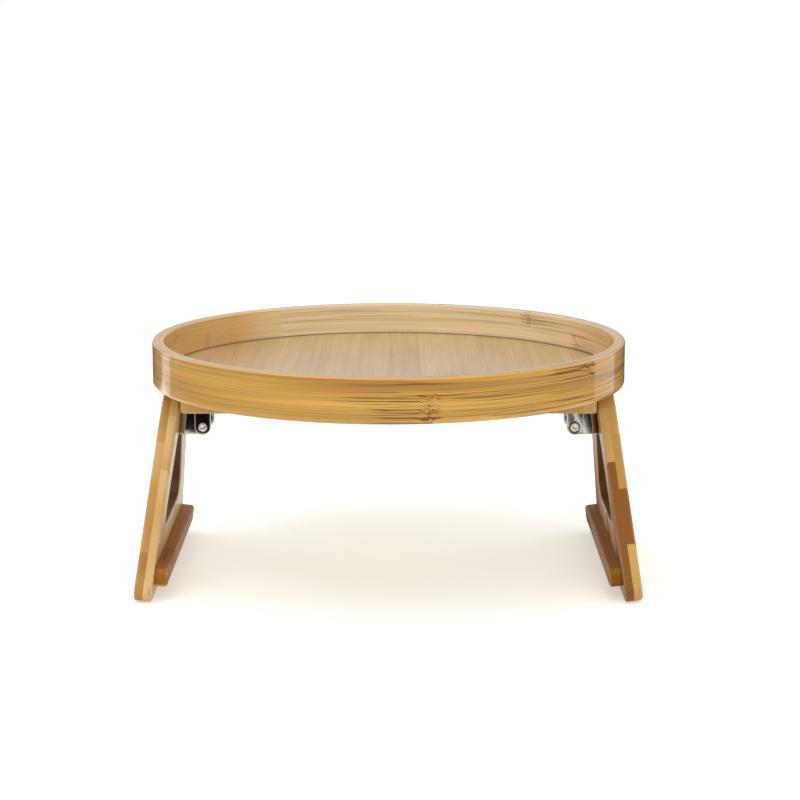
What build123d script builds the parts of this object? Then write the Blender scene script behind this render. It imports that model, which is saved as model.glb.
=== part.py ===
from build123d import *
import os
from math import cos, pi, radians, sin, sqrt

# Round bamboo tray that clips over the arm of a sofa. Two framed legs hang from sprung steel
# hinges under the tray and press their grip bars against the sides of the arm.
# Millimetres and degrees. +Z is up, +X runs from leg to leg, +Y runs along the sofa arm.
# The origin is on the ground, below the middle of the tray, with the legs opened to their stop.
# Each right-hand piece is made hanging straight down, swung out about its pin, and then turned
# half round the Z axis for the left-hand copy, so both sides use the same parts.

# Tray rim, bent from one bamboo strip
tray_diameter = 300.0
rim_height = 27.5
rim_wall = 7.5
rim_top_round = 2.2
rim_bottom_round = 1.2

# Tray panel, glued into a groove in the rim
panel_depth_below_rim_top = 20.0
panel_thickness = 5.5
panel_tongue_thickness = 3.0
panel_tongue_reach = 3.0
panel_edge_gap = 0.15

# Cleat under the panel, which carries the hinge
cleat_length = 80.0
cleat_width = 32.0
cleat_drop_below_rim = 15.0
cleat_round = 2.5
cleat_stop_gap = 0.3

# Leg board
leg_length = 121.0
leg_thickness = 11.0
leg_top_width = 58.0
leg_foot_width = 199.0
leg_top_corner = 22.0
leg_foot_corner = 8.0
leg_arris_round = 1.6

# Window in the leg board
window_below_top = 31.5
window_height = 53.5
window_top_width = 31.0
window_foot_width = 105.0
window_top_corner = 8.0
window_foot_corner = 10.0

# Grip bar along the inner face of the foot
bar_length = 170.0
bar_height = 11.0
bar_thickness = 8.2
bar_above_foot = 9.8
bar_round = 2.0

# Hinge: where the pin is, and how far the opened leg leans out
pin_inset = 31.6
pin_to_leg = 14.8
pin_below_cleat = 13.5
pin_below_leg_top = 24.0
splay_angle = 6.9

# Hinge pin, a rivet with one formed head at each end
pin_diameter = 4.0
pin_head_diameter = 5.8
pin_head_height = 1.3
pin_head_round = 0.5
pin_dimple_diameter = 2.4
pin_dimple_depth = 0.5
pin_running_gap = 0.06

# Sheet of both hinge brackets
sheet = 1.2
ear_bend_inside = 1.0
leaf_bend_inside = 2.6
ear_radius = 5.2

# Leg bracket: a leaf on the leg with a flange bent in along each side
leaf_width = 25.6
leaf_above_pin = 10.0
flange_neck_share = 0.45

# Tray bracket: a plate under the cleat with an ear bent down at each side
bracket_side_gap = 0.4
tongue_reach = 18.0
plate_outboard = 8.0
ear_top_inboard = 5.2
ear_top_outboard = 5.2
plate_corner = 2.5

# Torsion spring wound round the pin
spring_wire = 1.5
spring_bore = 5.2
spring_pitch = 2.1
spring_turns = 8
spring_leg_arm_lift = 10.0
spring_tray_arm_lean = 17.0
spring_seat_gap = 0.3

# Countersunk wood screws
screw_diameter = 3.0
screw_head_diameter = 5.6
screw_countersink_angle = 45.0
screw_head_land = 0.2
screw_point_share = 0.35
screw_wall_gap = 0.05
cross_width = 0.8
cross_length = 3.2
cross_depth = 0.9
tray_screw_length = 14.0
leg_screw_length = 9.0
tray_screw_spacing = 15.0
tray_screw_inset = 4.5
leg_screw_spacing = 10.0

# How far a cutting shape runs past what it cuts
overrun = 2.0

# Radii and levels that follow from the sizes above; the rounded foot touches the ground
rim_outside = tray_diameter / 2
rim_inside = rim_outside - rim_wall
pin_radius = pin_diameter / 2
pin_x = rim_outside - pin_inset
leg_below_pin = leg_length - pin_below_leg_top
lean = radians(splay_angle)
foot_round_drop = (leg_below_pin - leg_arris_round) * cos(lean)
foot_round_lift = (pin_to_leg + leg_arris_round) * sin(lean)
pin_z = foot_round_drop - foot_round_lift + leg_arris_round
cleat_bottom_z = pin_z + pin_below_cleat
rim_bottom_z = cleat_bottom_z + cleat_drop_below_rim
panel_top_z = rim_bottom_z + rim_height - panel_depth_below_rim_top
panel_bottom_z = panel_top_z - panel_thickness
tongue_middle_z = panel_bottom_z + panel_tongue_thickness / 2

# The opened leg stops with the inner arris of its top against the end of the cleat
top_inside_x = pin_to_leg * cos(lean) - pin_below_leg_top * sin(lean)
cleat_end_x = pin_x + top_inside_x - cleat_stop_gap
leg_inside_x = pin_x + pin_to_leg
leg_top_z = pin_z + pin_below_leg_top
leg_foot_z = leg_top_z - leg_length
leaf_low_z = pin_z - (ear_radius + pin_to_leg * sin(lean)) / cos(lean)

# Half widths across the hinge, from the middle outwards
leaf_half = leaf_width / 2
ear_inside_half = leaf_half + bracket_side_gap
ear_outside_half = ear_inside_half + sheet
coil_radius = (spring_bore + spring_wire) / 2

# Angles round the pin where the coil starts and ends, measured up from outboard
coil_start = 90.0 + spring_leg_arm_lift
coil_end = 360.0 * spring_turns - spring_tray_arm_lean

pin_axis = Axis((pin_x, 0, pin_z), (0, 1, 0))


def swing_out(shape):
    """Turn a right-hand leg piece from straight down to its opened angle."""
    return shape.rotate(pin_axis, -splay_angle)


def other_side(shape):
    """The left-hand copy of a right-hand piece."""
    return shape.rotate(Axis.Z, 180)


def save(shape, name):
    export_step(shape, os.path.join("parts", name + ".step"))


def across(x=0, z=0):
    """A drawing plane across the tray: its x is +X, its y is +Z, and it is extruded along +Y."""
    return Plane(origin=(x, 0, z), x_dir=(1, 0, 0), z_dir=(0, -1, 0))


def board_plane(x):
    """A drawing plane that faces +X: its x is +Y and its y is +Z."""
    return Plane(origin=(x, 0, 0), x_dir=(0, 1, 0), z_dir=(1, 0, 0))


def slab_y(profile, y_low, y_high):
    """Extrude a profile drawn in X and Z from one Y to another."""
    face = across() * profile
    solid = extrude(face, amount=y_high - y_low, dir=(0, 1, 0))
    return Pos(0, y_low, 0) * solid


# Tray

def make_rim():
    """A ring with rounded arrises and a groove for the panel."""
    section = Pos((rim_outside + rim_inside) / 2, rim_bottom_z + rim_height / 2) * Rectangle(
        rim_wall, rim_height
    )
    corners = section.vertices().sort_by(Axis.Y)
    section = fillet(corners[-2:], rim_top_round)
    corners = section.vertices().sort_by(Axis.Y)
    section = fillet(corners[:2], rim_bottom_round)
    groove = Pos(rim_inside + (panel_tongue_reach - overrun) / 2, tongue_middle_z) * Rectangle(
        panel_tongue_reach + overrun, panel_tongue_thickness
    )
    return revolve(Plane.XZ * (section - groove), Axis.Z)


def make_panel():
    """A disc with a thinner tongue all round, which sits in the groove of the rim."""
    disc = Pos(0, 0, (panel_top_z + panel_bottom_z) / 2) * Cylinder(
        rim_inside - panel_edge_gap, panel_thickness
    )
    tongue = Pos(0, 0, tongue_middle_z) * Cylinder(
        rim_inside + panel_tongue_reach - panel_edge_gap, panel_tongue_thickness
    )
    return disc + tongue


# Screws

def make_screw(length):
    """A countersunk screw that points down, with the face of its head at Z 0."""
    radius = screw_diameter / 2
    head = screw_head_diameter / 2
    cone = (head - radius) / sin(radians(screw_countersink_angle)) * cos(
        radians(screw_countersink_angle)
    )
    point = length * screw_point_share
    outline = Polyline(
        (0, 0),
        (head, 0),
        (head, -screw_head_land),
        (radius, -screw_head_land - cone),
        (radius, point - length),
        (0, -length),
        close=True,
    )
    body = revolve(Plane.XZ * make_face(outline), Axis.Z)
    for angle in (0, 90):
        slot = Box(cross_length, cross_width, cross_depth, align=(Align.CENTER, Align.CENTER, Align.MAX))
        body -= slot.rotate(Axis.Z, angle)
    return body


def make_screw_hole(length):
    """The hole that one such screw leaves in what it goes through."""
    radius = screw_diameter / 2 + screw_wall_gap
    head = screw_head_diameter / 2 + screw_wall_gap
    cone = (head - radius) / sin(radians(screw_countersink_angle)) * cos(
        radians(screw_countersink_angle)
    )
    outline = Polyline(
        (0, overrun),
        (head, overrun),
        (head, -screw_head_land),
        (radius, -screw_head_land - cone),
        (radius, -length - screw_wall_gap),
        (0, -length - screw_wall_gap),
        close=True,
    )
    return revolve(Plane.XZ * make_face(outline), Axis.Z)


def tray_screw_places():
    """Up through the tongue of the tray bracket, one behind the other across it."""
    end_x = pin_x - tongue_reach + tray_screw_inset
    head_z = cleat_bottom_z - sheet
    return [
        Pos(end_x, side * tray_screw_spacing / 2, head_z) * Rot(180, 0, 0) for side in (-1, 1)
    ]


def leg_screw_places():
    """Outwards through the leaf of the leg bracket."""
    middle_z = (pin_z + leaf_above_pin + leaf_low_z) / 2
    head_x = leg_inside_x - sheet
    return [
        Pos(head_x, side * leg_screw_spacing / 2, middle_z) * Rot(0, -90, 0) for side in (-1, 1)
    ]


def screws(places, length):
    return Compound([place * make_screw(length) for place in places])


def cut_holes(shape, places, length):
    for place in places:
        shape -= place * make_screw_hole(length)
    return shape


# Cleat, leg and grip bar

def make_cleat():
    """A block glued to the panel, with rounded arrises where it shows."""
    block = Pos(cleat_end_x - cleat_width / 2, 0, cleat_bottom_z) * Box(
        cleat_width,
        cleat_length,
        panel_bottom_z - cleat_bottom_z,
        align=(Align.CENTER, Align.CENTER, Align.MIN),
    )
    block = fillet(block.edges().filter_by(Axis.Z), cleat_round)
    lower = block.edges().filter_by_position(Axis.Z, cleat_bottom_z - sheet, cleat_bottom_z + sheet)
    block = chamfer(lower, cleat_round / 2)
    return cut_holes(block, tray_screw_places(), tray_screw_length)


def trapezoid(top_width, foot_width, top_z, height, top_corner, foot_corner):
    """A face that is wider at its foot, drawn in Y and Z, with rounded corners."""
    top = top_width / 2
    foot = foot_width / 2
    outline = FilletPolyline(
        (top, top_z),
        (foot, top_z - height),
        (-foot, top_z - height),
        (-top, top_z),
        radius=[top_corner, foot_corner, foot_corner, top_corner],
        close=True,
    )
    return make_face(outline)


def make_leg():
    """A flared board with rounded corners and a window between its rails."""
    board_face = trapezoid(
        leg_top_width, leg_foot_width, leg_top_z, leg_length, leg_top_corner, leg_foot_corner
    )
    window = trapezoid(
        window_top_width,
        window_foot_width,
        leg_top_z - window_below_top,
        window_height,
        window_top_corner,
        window_foot_corner,
    )
    board = extrude(board_plane(leg_inside_x) * (board_face - window), amount=leg_thickness)
    sides = board.faces().filter_by(Axis.X)
    arrises = sides[0].edges() + sides[-1].edges()
    board = fillet(arrises, leg_arris_round)
    return cut_holes(board, leg_screw_places(), leg_screw_length)


def make_bar():
    """A batten glued across the foot of the leg, which is what presses on the sofa."""
    middle_z = leg_foot_z + bar_above_foot + bar_height / 2
    bar = Pos(leg_inside_x - bar_thickness / 2, 0, middle_z) * Box(bar_thickness, bar_length, bar_height)
    inner = bar.faces().sort_by(Axis.X)[0]
    return fillet(inner.edges(), bar_round)


# Hinge

def make_leg_bracket():
    """Sheet leaf on the leg, with two flanges bent in along its sides to hold the pin.

    The lower edge of each flange lies level when the leg is opened.
    """
    top_z = pin_z + leaf_above_pin
    neck_x = pin_x + pin_to_leg * flange_neck_share
    side = Polyline(
        (pin_x - ear_radius * sin(lean), pin_z - ear_radius * cos(lean)),
        (leg_inside_x, leaf_low_z),
        (leg_inside_x, top_z),
        (neck_x, top_z),
        (pin_x, pin_z + ear_radius),
        close=True,
    )
    profile = make_face(side) + Pos(pin_x, pin_z) * Circle(ear_radius)
    outer = slab_y(profile, -leaf_half, leaf_half)
    bends = outer.edges().filter_by(Axis.Z).sort_by(Axis.X)[-2:]
    outer = fillet(bends, leaf_bend_inside + sheet)
    hollow = Pos(leg_inside_x - sheet, 0, pin_z) * Box(
        2 * pin_to_leg,
        leaf_width - 2 * sheet,
        2 * (leaf_above_pin + leg_arris_round + pin_z - leaf_low_z),
        align=(Align.MAX, Align.CENTER, Align.CENTER),
    )
    inner_bends = hollow.edges().filter_by(Axis.Z).sort_by(Axis.X)[-2:]
    hollow = fillet(inner_bends, leaf_bend_inside)
    bracket = outer - hollow - bore_along_pin(leaf_width)
    return cut_holes(bracket, leg_screw_places(), leg_screw_length)


def bore_along_pin(width):
    """The running hole for the pin through everything within a width."""
    drill = Cylinder(pin_radius + pin_running_gap, width + overrun)
    return Pos(pin_x, 0, pin_z) * Rot(90, 0, 0) * drill


def make_tray_bracket():
    """Sheet channel: a plate with a screwed tongue, and two ears bent down to the pin."""
    plate_top = cleat_bottom_z
    plate_low = plate_top - sheet
    inboard_x = pin_x - tongue_reach
    outboard_x = pin_x + plate_outboard
    ear = Polyline(
        (pin_x - ear_top_inboard, plate_top),
        (pin_x + ear_top_outboard, plate_top),
        (pin_x + ear_radius, pin_z),
        (pin_x - ear_radius, pin_z),
        close=True,
    )
    ear_face = make_face(ear) + Pos(pin_x, pin_z) * Circle(ear_radius)
    outer = slab_y(ear_face, -ear_outside_half, ear_outside_half)
    upper = outer.edges().filter_by(Axis.X).sort_by(Axis.Z)[-2:]
    outer = fillet(upper, ear_bend_inside + sheet)
    hollow = Pos(pin_x, 0, plate_low) * Box(
        2 * tongue_reach,
        2 * ear_inside_half,
        pin_below_cleat + ear_radius + overrun,
        align=(Align.CENTER, Align.CENTER, Align.MAX),
    )
    top_bends = hollow.edges().filter_by(Axis.X).sort_by(Axis.Z)[-2:]
    hollow = fillet(top_bends, ear_bend_inside)
    ears = outer - hollow
    plate_half = ear_outside_half - ear_bend_inside - sheet
    plate = Pos((inboard_x + outboard_x) / 2, 0, (plate_top + plate_low) / 2) * Box(
        outboard_x - inboard_x, 2 * plate_half, sheet
    )
    plate = fillet(plate.edges().filter_by(Axis.Z), plate_corner)
    bracket = plate + ears - bore_along_pin(2 * ear_outside_half)
    return cut_holes(bracket, tray_screw_places(), tray_screw_length)


def make_pin():
    """A rivet with a formed head outside each ear of the tray bracket."""
    reach = ear_outside_half
    head = pin_head_diameter / 2
    dimple = pin_dimple_diameter / 2
    rivet = Cylinder(pin_radius, 2 * reach)
    for end in (-1, 1):
        cap = Pos(0, 0, end * (reach + pin_head_height / 2)) * Cylinder(head, pin_head_height)
        rim = cap.edges().filter_by(GeomType.CIRCLE).sort_by(Axis.Z)[-1 if end > 0 else 0]
        cap = fillet(rim, pin_head_round)
        cap -= Pos(0, 0, end * (reach + pin_head_height)) * Cylinder(dimple, 2 * pin_dimple_depth)
        rivet += cap
    return Pos(pin_x, 0, pin_z) * Rot(90, 0, 0) * rivet


def biarc(start, start_way, end, end_way):
    """Two arcs that join two points and leave and arrive along the given directions."""
    chord = end - start
    ways = start_way + end_way
    a = 2 * (1 - start_way.dot(end_way))
    b = 2 * chord.dot(ways)
    c = -chord.dot(chord)
    reach = (-b + sqrt(b * b - 4 * a * c)) / (2 * a)
    join = (start + start_way * reach + end - end_way * reach) / 2
    return [
        Edge.make_tangent_arc(start, start_way, join),
        Edge.make_tangent_arc(end, end_way * -1, join),
    ]


def coil_point(degrees_round):
    """A point on the middle of the wire where it is wound, and the way the wire runs there."""
    angle = radians(degrees_round)
    climb = spring_pitch / (2 * pi)
    middle = radians((coil_start + coil_end) / 2)
    point = Vector(
        pin_x + coil_radius * cos(angle),
        climb * (angle - middle),
        pin_z + coil_radius * sin(angle),
    )
    way = Vector(-coil_radius * sin(angle), climb, coil_radius * cos(angle))
    return point, way.normalized()


def arm_length(point, way, normal, level):
    """How far an arm runs until its end is just short of the face that it presses on."""
    from_pin = point - Vector(pin_x, 0, pin_z)
    facing = way.dot(normal)
    end_rise = spring_wire / 2 * sqrt(1 - facing * facing)
    return (level - spring_seat_gap - end_rise - from_pin.dot(normal)) / facing


def make_spring():
    """One wire: an arm to the leaf on the leg, the turns, and an arm up to the tray bracket."""
    steps = round((coil_end - coil_start) / 180)
    stations = [coil_start + (coil_end - coil_start) * i / steps for i in range(steps + 1)]
    points = [coil_point(station) for station in stations]
    first, first_way = points[0]
    last, last_way = points[-1]
    leaf_normal = Vector(cos(lean), 0, sin(lean))
    leg_arm = arm_length(first, first_way * -1, leaf_normal, pin_to_leg - sheet)
    tray_arm = arm_length(last, last_way, Vector(0, 0, 1), pin_below_cleat - sheet)
    edges = [Edge.make_line(first - first_way * leg_arm, first)]
    for (start, start_way), (end, end_way) in zip(points, points[1:]):
        edges += biarc(start, start_way, end, end_way)
    edges.append(Edge.make_line(last, last + last_way * tray_arm))
    path = Wire(edges)
    section = Plane(origin=first - first_way * leg_arm, z_dir=first_way) * Circle(spring_wire / 2)
    print_least_gap(points, edges)
    return sweep(section, path=path)


def print_least_gap(points, edges):
    """Measure on points of the wire's middle line how near it comes to itself."""
    line = []
    for edge in edges[:1] + edges[-1:]:
        line.append([edge.position_at(i / 40) for i in range(41)])
    coil = []
    per_step = 60
    total = len(points) - 1
    for i in range(total * per_step + 1):
        station = coil_start + (coil_end - coil_start) * i / (total * per_step)
        coil.append(coil_point(station)[0])
    least = min(
        (coil[i] - coil[j]).length
        for i in range(0, len(coil), 3)
        for j in range(i + per_step, len(coil), 3)
    )
    arms = min(
        (spot - coil[j]).length
        for spot in line[0]
        for j in range(per_step, len(coil))
    )
    arms = min(
        arms,
        min((spot - coil[j]).length for spot in line[1] for j in range(len(coil) - per_step)),
    )
    print("least gap of the spring to itself:", round(min(least, arms) - spring_wire, 3))


def main():
    os.makedirs("parts", exist_ok=True)
    save(make_rim(), "tray_rim")
    save(make_panel(), "tray_panel")
    leg_side = {
        "leg_board": make_leg(),
        "grip_bar": make_bar(),
        "leg_bracket": make_leg_bracket(),
        "leg_bracket_screws": screws(leg_screw_places(), leg_screw_length),
    }
    tray_side = {
        "hinge_cleat": make_cleat(),
        "tray_bracket": make_tray_bracket(),
        "tray_bracket_screws": screws(tray_screw_places(), tray_screw_length),
        "hinge_pin": make_pin(),
        "hinge_spring": make_spring(),
    }
    right = {name: swing_out(shape) for name, shape in leg_side.items()} | tray_side
    for name, shape in right.items():
        save(shape, name + "_right")
        save(other_side(shape), name + "_left")


main()
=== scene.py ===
# %% [markdown]
# # A sofa arm tray in bamboo and steel
# A round tray with a raised rim stands on two flared legs, which hang from sprung hinges and
# clip over the arm of a sofa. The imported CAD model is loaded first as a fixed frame. Each piece
# below is then made in its place on that frame, and rides on the body that carries it.

# %% Load the frame
from math import cos, pi, radians, sin, sqrt, tau

import bmesh
import bpy
from mathutils import Matrix, Vector


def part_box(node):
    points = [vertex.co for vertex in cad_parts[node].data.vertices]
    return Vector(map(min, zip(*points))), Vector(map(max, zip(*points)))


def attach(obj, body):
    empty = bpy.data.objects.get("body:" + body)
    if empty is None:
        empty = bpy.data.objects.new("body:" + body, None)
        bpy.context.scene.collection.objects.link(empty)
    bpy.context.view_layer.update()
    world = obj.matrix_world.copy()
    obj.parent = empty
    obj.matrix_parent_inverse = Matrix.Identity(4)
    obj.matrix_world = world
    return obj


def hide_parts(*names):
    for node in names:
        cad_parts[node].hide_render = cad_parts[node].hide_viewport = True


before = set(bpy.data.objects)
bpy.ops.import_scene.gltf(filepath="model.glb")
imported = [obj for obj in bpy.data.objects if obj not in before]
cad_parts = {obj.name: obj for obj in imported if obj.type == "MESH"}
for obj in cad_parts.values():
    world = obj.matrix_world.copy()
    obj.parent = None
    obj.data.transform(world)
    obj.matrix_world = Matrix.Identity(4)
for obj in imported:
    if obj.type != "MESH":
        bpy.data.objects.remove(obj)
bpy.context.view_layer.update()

# %% [markdown]
# ## Sizes
# A woodworker would write these on the drawing. They are in millimetres here, because that is
# how such a tray is measured, and become metres where a mesh is made. What the CAD model already
# knows, such as where a hinge pin is, is read from it.

# %% Sizes of the pieces, in millimetres
MM = 0.001
rim_radius, rim_wall, rim_height = 150.0, 7.5, 27.5
panel_radius, panel_thickness = 142.4, 5.5
leg_thickness, leg_arris = 11.0, 1.6
pin_to_leg, pin_below_top, pin_below_cleat, splay = 14.8, 24.0, 13.5, 6.9
leg_length, ear_radius, leaf_above_pin = 121.0, 5.2, 10.0
bar_thickness, bar_height, bar_length, bar_above_foot = 8.2, 11.0, 170.0, 9.8
sheet, spring_wire, spring_pitch, spring_turns = 1.2, 1.5, 2.1, 8

pin_low, pin_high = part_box("hinge_pin_right")
pin = Vector(((pin_low[0] + pin_high[0]) / 2, 0, (pin_low[2] + pin_high[2]) / 2)) / MM
rim_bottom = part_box("tray_rim")[0][2] / MM
panel_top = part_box("tray_panel")[1][2] / MM
panel_level = panel_top - rim_bottom
print("pin at", [round(v, 2) for v in pin], "rim from", round(rim_bottom, 2),
      "panel", round(panel_level, 2), "above it")

# %% [markdown]
# Each leg's pieces are drawn as if the leg hung straight down from its pin, with x measured
# outwards from the pin and z upwards. One matrix swings them out to the stop, and half a turn
# about the upright axis gives the other side. Both sides then share every number.

# %% Where the two legs are
SIDES = {"right": Matrix.Identity(4), "left": Matrix.Rotation(pi, 4, "Z")}


def leg_frame(side):
    swing = Matrix.Rotation(radians(-splay), 4, "Y")
    return SIDES[side] @ Matrix.Translation(pin * MM) @ swing


# %% [markdown]
# ## Tools for making pieces
# A finished piece has its place in its mesh, faces that point outwards, and two soft attributes
# that the materials read: `edge`, which is 1 along a rounded arris, where use wears a finish
# thin and a painted highlight goes, and `end`, which is 1 where the fibres are cut across.

# %% Put an object in the scene and make it a plain mesh
def put_in_scene(name, data):
    """An object in the scene that holds some data."""
    placed = bpy.data.objects.new(name, data)
    bpy.context.scene.collection.objects.link(placed)
    return placed


def bake_modifiers(piece):
    """Make what the modifiers give the piece's own plain mesh."""
    bpy.context.view_layer.update()
    done = bpy.data.meshes.new_from_object(
        piece.evaluated_get(bpy.context.evaluated_depsgraph_get())
    )
    piece.modifiers.clear()
    piece.data = done


def plain_mesh(host):
    """Bake an object's modifiers, keep the mesh and throw the object away."""
    bake_modifiers(host)
    mesh = host.data
    bpy.data.objects.remove(host)
    return mesh


def mesh_of(made, name):
    """Turn what bmesh has made into a mesh."""
    mesh = bpy.data.meshes.new(name)
    made.to_mesh(mesh)
    made.free()
    return mesh


# %% Finish a mesh
def signed_volume(mesh):
    shape = bmesh.new()
    shape.from_mesh(mesh)
    volume = shape.calc_volume(signed=True)
    shape.free()
    return volume


def finish(mesh, name, body, nodes, place=None, fibre=None, face=None, material=None):
    """Turn a mesh into a piece: faces out, smooth, with its attributes, riding on its body.

    fibre is the way the fibres run, and face the way the broad faces point, before the piece
    is put in its place.
    """
    if material:
        mesh.materials.append(material)
    if signed_volume(mesh) < 0:
        mesh.flip_normals()
    edge = mesh.attributes.new("edge", "FLOAT", "POINT")
    end = mesh.attributes.new("end", "FLOAT", "POINT")
    for vertex in mesh.vertices:
        if face:
            lean = abs(vertex.normal.dot(Vector(face)))
            edge.data[vertex.index].value = max(0.0, 1.0 - abs(lean - 0.6) / 0.38)
        if fibre:
            cut = abs(vertex.normal.dot(Vector(fibre)))
            end.data[vertex.index].value = min(1.0, max(0.0, (cut - 0.2) / 0.45))
    if place is not None:
        mesh.transform(place)
    for polygon in mesh.polygons:
        polygon.use_smooth = True
    piece = put_in_scene(name, mesh)
    weigh = piece.modifiers.new("even shading on flat faces", "WEIGHTED_NORMAL")
    weigh.weight = 80
    bake_modifiers(piece)
    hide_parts(*nodes)
    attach(piece, body)
    print(name, "has", len(piece.data.polygons), "faces, volume",
          round(signed_volume(piece.data) * 1e6, 2), "cm3")


# %% [markdown]
# The leg boards, cleats and grip bars are all slabs with an outline and rounded arrises. A bevel
# modifier would guess where the arris goes. Here the outline is offset instead, as a router
# bit does on its bearing: each ring of points is the same outline, moved in by a set amount and
# down by the matching amount of a quarter circle, so the rounding is true also in the corners.

# %% An outline, moved in by some amount
def outline(corners, radii, inset, arc_steps=10, run_steps=14):
    """Points of a closed convex outline, drawn counter-clockwise, with rounded corners."""
    count = len(corners)
    lines = []
    for i in range(count):
        a, b = Vector(corners[i]), Vector(corners[(i + 1) % count])
        along = (b - a).normalized()
        lines.append((a + Vector((-along.y, along.x)) * inset, along))
    points = []
    for i in range(count):
        (p, u), (q, v) = lines[i - 1], lines[i]
        step = ((q - p).x * v.y - (q - p).y * v.x) / (u.x * v.y - u.y * v.x)
        corner = p + u * step
        turn = u.angle(v)
        radius = max(radii[i] - inset, 0.25)
        reach = radius * sin(turn / 2) / cos(turn / 2)
        start = corner - u * reach
        middle = start + Vector((-u.y, u.x)) * radius
        spoke = start - middle
        for k in range(arc_steps + 1):
            points.append(middle + Matrix.Rotation(turn * k / arc_steps, 2) @ spoke)
        points.append(None)
    filled = []
    for i, point in enumerate(points):
        if point is not None:
            filled.append(point)
            continue
        here, there = points[i - 1], points[(i + 1) % len(points)]
        filled += [here.lerp(there, k / run_steps) for k in range(1, run_steps)]
    return filled


# %% A slab with rounded arrises and an optional window
def slab(shape, thickness, low_round, high_round, window=None, steps=6, face_ring=0.4):
    """A mesh drawn in u and v, with w as its depth. Its corners are (u, v) pairs in millimetres.

    A flat ring, face_ring wide, ends what the arris's points hold before the long triangles
    that fill the face.
    """
    rings = [(low_round + face_ring, 0.0)]
    for k in range(steps + 1):
        angle = radians(90 * (1 - k / steps))
        rings.append((low_round * (1 - cos(angle)), low_round * (1 - sin(angle))))
    for k in range(steps + 1):
        angle = radians(90 * k / steps)
        rings.append((high_round * (1 - cos(angle)), thickness - high_round * (1 - sin(angle))))
    rings.append((high_round + face_ring, thickness))
    made = bmesh.new()
    reveal = made.verts.layers.float.new("reveal")
    rims = {"low": [], "high": []}
    for corners, radii, sign in [(*shape, 1)] + ([(*window, -1)] if window else []):
        before = None
        for number, (inset, depth) in enumerate(rings):
            ring = [
                made.verts.new((p.x * MM, p.y * MM, depth * MM))
                for p in outline(corners, radii, sign * inset)
            ]
            # Rings on the window's side wall are marked, and the finish paints shade on them.
            for vertex in ring:
                vertex[reveal] = float(sign < 0 and abs(number - steps - 1.5) < 3)
            edges = [
                made.edges.new((ring[i], ring[(i + 1) % len(ring)])) for i in range(len(ring))
            ]
            if number == 0:
                rims["low"] += edges
            if number == len(rings) - 1:
                rims["high"] += edges
            if before:
                for i in range(len(ring)):
                    j = (i + 1) % len(ring)
                    made.faces.new((before[i], before[j], ring[j], ring[i]))
            before = ring
    for edges in rims.values():
        bmesh.ops.triangle_fill(made, use_beauty=True, use_dissolve=False, edges=edges)
    bmesh.ops.remove_doubles(made, verts=made.verts, dist=1e-7)
    bmesh.ops.recalc_face_normals(made, faces=made.faces)
    return mesh_of(made, "slab")


# %% [markdown]
# Round pieces, such as the panel and the hinge rivets, are turned: a profile is carried round an
# axis, with one single point at each pole so that the skin is closed there.

# %% Turn a profile round the z axis
def turned(profile, steps=64):
    """A closed mesh from (radius, height) pairs in millimetres, the first and last on the axis."""
    made = bmesh.new()
    rings = []
    for radius, height in profile:
        if radius == 0:
            rings.append([made.verts.new((0, 0, height * MM))])
            continue
        ring = []
        for k in range(steps):
            angle = tau * k / steps
            ring.append(
                made.verts.new((radius * cos(angle) * MM, radius * sin(angle) * MM, height * MM))
            )
        rings.append(ring)
    for a, b in zip(rings, rings[1:]):
        for k in range(steps):
            j = (k + 1) % steps
            if len(a) == 1:
                made.faces.new((a[0], b[j], b[k]))
            elif len(b) == 1:
                made.faces.new((a[k], a[j], b[0]))
            else:
                made.faces.new((a[k], a[j], b[j], b[k]))
    bmesh.ops.recalc_face_normals(made, faces=made.faces)
    return mesh_of(made, "turned")


# %% [markdown]
# ## Growing with nodes
# Geometry Nodes grow the rim, the springs and the screws, and every finish is a tree of shader
# nodes. One small function adds a node to either kind of tree. A second one takes a value
# through several nodes in a row, which keeps a long sum on one line.

# %% Adding nodes
RANGE, MIX, NOISE = "ShaderNodeMapRange", "ShaderNodeMix", "ShaderNodeTexNoise"
COMBINE, SEPARATE = "ShaderNodeCombineXYZ", "ShaderNodeSeparateXYZ"
VECTOR_SUM, ATTRIBUTE = "ShaderNodeVectorMath", "ShaderNodeAttribute"
SMOOTHLY = {"interpolation_type": "SMOOTHSTEP"}
COLOURS = {"data_type": "RGBA", "give": 2}


def add(tree, kind, inputs=(), give=0, **settings):
    """Add a node, set its properties, fill or link its inputs, and return one of its outputs.

    A kind in capitals is a sum of the maths node. A tuple fills the inputs in their order.
    """
    if kind.isupper():
        kind, settings["operation"] = "ShaderNodeMath", kind
    made = tree.nodes.new(kind)
    for key, value in settings.items():
        setattr(made, key, value)
    if isinstance(inputs, tuple):
        inputs = dict(enumerate(inputs))
    for key, value in inputs.items():
        if isinstance(value, bpy.types.NodeSocket):
            tree.links.new(value, made.inputs[key])
        else:
            made.inputs[key].default_value = value
    return made.outputs[give] if len(made.outputs) else made


def chain(tree, value, *steps):
    """Take a value through one node after another, each with the other inputs that it needs."""
    for kind, *others in steps:
        value = add(tree, kind, (value, *others))
    return value


# %% Starting, ending and running a tree
FLOAT, INT, VECTOR = "NodeSocketFloat", "NodeSocketInt", "NodeSocketVector"
MATERIAL, OBJECT, GEOMETRY = "NodeSocketMaterial", "NodeSocketObject", "NodeSocketGeometry"


def new_tree(name, inputs):
    """A Geometry Nodes tree with named inputs; returns it, its inputs' node and their names."""
    tree = bpy.data.node_groups.new(name, "GeometryNodeTree")
    keys = {}
    for label, kind in inputs.items():
        socket = tree.interface.new_socket(name=label, in_out="INPUT", socket_type=kind)
        keys[label] = socket.identifier
    tree.interface.new_socket(name="Geometry", in_out="OUTPUT", socket_type=GEOMETRY)
    return tree, tree.nodes.new("NodeGroupInput").outputs, keys


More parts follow.
